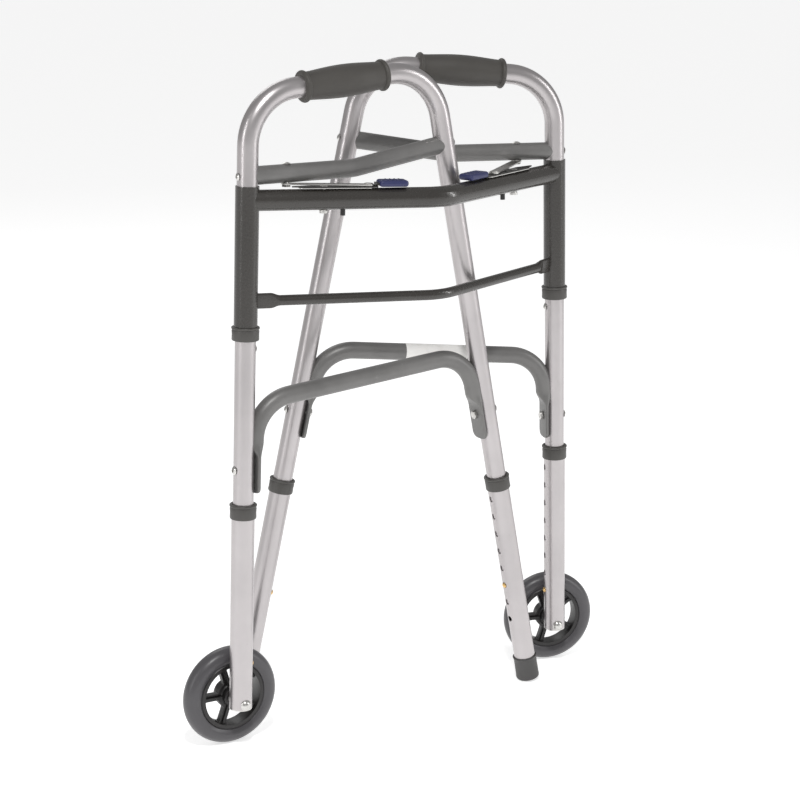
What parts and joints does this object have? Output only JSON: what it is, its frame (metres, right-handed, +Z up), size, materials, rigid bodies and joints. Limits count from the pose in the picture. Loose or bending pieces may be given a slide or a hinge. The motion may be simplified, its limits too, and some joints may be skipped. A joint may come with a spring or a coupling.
{
  "type": "folding walking frame",
  "caption": "Folding walking frame: bowed front crossbars, hinged U-shaped side frames with hand grips, palm-release fold locks, adjustable legs, front wheels and rubber rear tips.",
  "frame": {"origin": "on the floor, under the middle of the whole frame as it stands nearly folded", "axes": "+Z up; +Y towards the user, away from the bowed crossbars; +X along the line through the two front legs, towards the right side frame"},
  "size_m": [0.6374, 0.2458, 0.8502],
  "materials": {
    "satin_aluminium": "satin anodised",
    "dark_paint": "gloss hammered",
    "brace_paint": "satin",
    "grip_vinyl": "fine-grained vinyl",
    "grey_plastic": "moulded",
    "grey_rubber": "matte",
    "tyre_rubber": "matte",
    "black_plastic": "moulded",
    "navy_plastic": "moulded",
    "zinc_plate": "zinc plated",
    "blackened_steel": "blackened",
    "brass": "plain",
    "label_white": "smooth film"
  },
  "bodies": {
    "front_frame": {"upper_crossbar": "dark_paint", "lower_crossbar": "dark_paint", "left_sleeve": "dark_paint", "right_sleeve": "dark_paint", "sleeve_bushes": "grey_plastic", "left_track_plate": "zinc_plate", "right_track_plate": "zinc_plate", "lever_pivot_bolts": "zinc_plate", "lever_stop_pins": "black_plastic"},
    "left_side": {"left_side_tube": "satin_aluminium", "left_upper_brace": "brace_paint", "left_lower_brace": "brace_paint", "left_brace_plugs": "black_plastic", "left_grip": "grip_vinyl", "left_screws": "zinc_plate", "left_brace_bolts": "zinc_plate", "left_sleeve_collar": "grey_plastic", "left_stay_bolt": "zinc_plate"},
    "left_stay": {"left_stay": "zinc_plate"},
    "left_lever": {"left_lever": "blackened_steel", "left_paddle": "navy_plastic"},
    "left_front_button": {"left_front_button": "brass"},
    "left_rear_button": {"left_rear_button": "brass"},
    "left_front_leg": {"left_front_extension": "satin_aluminium", "left_front_collar": "grey_plastic", "left_foot_plug": "zinc_plate", "left_axle": "zinc_plate", "left_axle_bush": "zinc_plate"},
    "left_wheel": {"left_wheel_centre": "black_plastic", "left_tyre": "tyre_rubber"},
    "left_rear_leg": {"left_rear_extension": "satin_aluminium", "left_rear_collar": "grey_plastic", "left_rear_tip": "grey_rubber"},
    "right_side": {"right_side_tube": "satin_aluminium", "right_upper_brace": "brace_paint", "right_lower_brace": "brace_paint", "right_brace_plugs": "black_plastic", "right_grip": "grip_vinyl", "right_screws": "zinc_plate", "right_brace_bolts": "zinc_plate", "right_sleeve_collar": "grey_plastic", "right_stay_bolt": "zinc_plate", "blank_label": "label_white"},
    "right_stay": {"right_stay": "zinc_plate"},
    "right_lever": {"right_lever": "blackened_steel", "right_paddle": "navy_plastic"},
    "right_front_button": {"right_front_button": "brass"},
    "right_rear_button": {"right_rear_button": "brass"},
    "right_front_leg": {"right_front_extension": "satin_aluminium", "right_front_collar": "grey_plastic", "right_foot_plug": "zinc_plate", "right_axle": "zinc_plate", "right_axle_bush": "zinc_plate"},
    "right_wheel": {"right_wheel_centre": "black_plastic", "right_tyre": "tyre_rubber"},
    "right_rear_leg": {"right_rear_extension": "satin_aluminium", "right_rear_collar": "grey_plastic", "right_rear_tip": "grey_rubber"}
  },
  "joints": [
    {"name": "left_fold", "type": "hinge", "parent": "front_frame", "child": "left_side", "pos_m": [-0.2393, -0.04169, 0.5997], "axis": [0.0314, 0, 0.9995], "range_deg": [0, 6]},
    {"name": "left_stay_swing", "type": "hinge", "parent": "left_side", "child": "left_stay", "pos_m": [-0.18395, -0.04387, 0.70702], "axis": [0.0314, 0, 0.9995], "range_deg": [-9.6, 0.5]},
    {"name": "left_lever_press", "type": "hinge", "parent": "front_frame", "child": "left_lever", "pos_m": [-0.14716, -0.06934, 0.70486], "axis": [0.0314, 0, 0.9995], "range_deg": [0, 7], "stiffness_Nm_per_rad": 2, "springref_deg": -5.73},
    {"name": "left_front_button_press", "type": "slide", "parent": "left_side", "child": "left_front_button", "axis": [-0.9986, 0.0419, 0.0314], "range_m": [0, 0.0047], "stiffness_N_per_m": 600, "springref_m": -0.006},
    {"name": "left_rear_button_press", "type": "slide", "parent": "left_side", "child": "left_rear_button", "axis": [0.9801, -0.0408, 0.1943], "range_m": [0, 0.0047], "stiffness_N_per_m": 600, "springref_m": -0.006},
    {"name": "left_front_leg_slide", "type": "slide", "parent": "left_side", "child": "left_front_leg", "axis": [-0.0314, 0, -0.9995], "range_m": [0, 0.1524]},
    {"name": "left_rear_leg_slide", "type": "slide", "parent": "left_side", "child": "left_rear_leg", "axis": [0.194, -0.0094, -0.9809], "range_m": [-0.0508, 0.1016]},
    {"name": "left_wheel_spin", "type": "hinge", "parent": "left_front_leg", "child": "left_wheel", "pos_m": [-0.25488, -0.01122, 0.06353], "axis": [0.0419, 0.9991, -0.0013], "continuous": true},
    {"name": "right_fold", "type": "hinge", "parent": "front_frame", "child": "right_side", "pos_m": [0.229, -0.04169, 0.5997], "axis": [0.0314, 0, -0.9995], "range_deg": [-9.5, 70.5]},
    {"name": "right_stay_swing", "type": "hinge", "parent": "right_side", "child": "right_stay", "pos_m": [0.17659, -0.02433, 0.70711], "axis": [0.0314, 0, -0.9995], "range_deg": [-82.8, 11.6]},
    {"name": "right_lever_press", "type": "hinge", "parent": "front_frame", "child": "right_lever", "pos_m": [0.13686, -0.06934, 0.70486], "axis": [0.0314, 0, -0.9995], "range_deg": [0, 7], "stiffness_Nm_per_rad": 2, "springref_deg": -5.73},
    {"name": "right_front_button_press", "type": "slide", "parent": "right_side", "child": "right_front_button", "axis": [0.9422, -0.3338, 0.0296], "range_m": [0, 0.0047], "stiffness_N_per_m": 600, "springref_m": -0.006},
    {"name": "right_rear_button_press", "type": "slide", "parent": "right_side", "child": "right_rear_button", "axis": [-0.9251, 0.3253, 0.196], "range_m": [0, 0.0047], "stiffness_N_per_m": 600, "springref_m": -0.006},
    {"name": "right_front_leg_slide", "type": "slide", "parent": "right_side", "child": "right_front_leg", "axis": [0.0314, 0, -0.9995], "range_m": [0, 0.1524]},
    {"name": "right_rear_leg_slide", "type": "slide", "parent": "right_side", "child": "right_rear_leg", "axis": [-0.1813, 0.0751, -0.9805], "range_m": [-0.0508, 0.1016]},
    {"name": "right_wheel_spin", "type": "hinge", "parent": "right_front_leg", "child": "right_wheel", "pos_m": [0.25603, -0.01294, 0.06389], "axis": [0.3336, 0.9426, 0.0105], "continuous": true}
  ],
  "couplings": [
    {"joint": "left_stay_swing", "follows": "left_fold", "ratio": -1.5063},
    {"joint": "right_stay_swing", "follows": "right_fold", "ratio": -1.1669}
  ]
}
